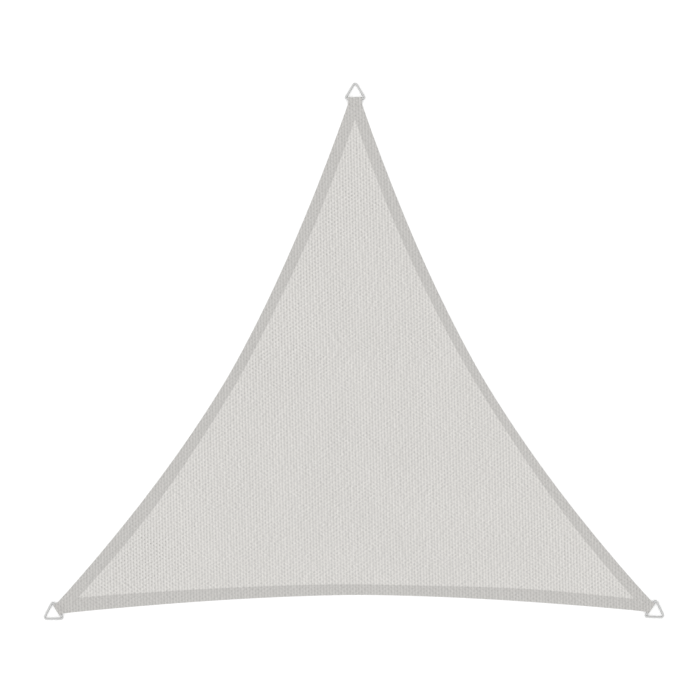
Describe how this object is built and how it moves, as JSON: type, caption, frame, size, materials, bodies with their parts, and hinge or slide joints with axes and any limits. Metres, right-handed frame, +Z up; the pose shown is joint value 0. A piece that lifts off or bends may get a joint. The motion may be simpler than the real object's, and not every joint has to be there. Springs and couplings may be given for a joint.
{
  "type": "triangular shade sail",
  "caption": "Triangular knitted shade sail with hollow hemmed sides, lying flat, and a closed triangular steel ring folded into each corner.",
  "frame": {"origin": "on the ground under the middle of the sail's bounding box", "axes": "+X to the sail's right, +Y from the bottom side towards the top corner, +Z up from the ground through the cloth's face"},
  "size_m": [2.0018, 1.7336, 0.0092],
  "materials": {
    "sail_knit": "matt knitted plastic yarn, light warm grey, slightly see-through",
    "ring_steel": "satin stainless steel"
  },
  "bodies": {
    "root": {"sail_cloth": "sail_knit", "ring_top": "ring_steel", "ring_left": "ring_steel", "ring_right": "ring_steel"}
  },
  "joints": []
}
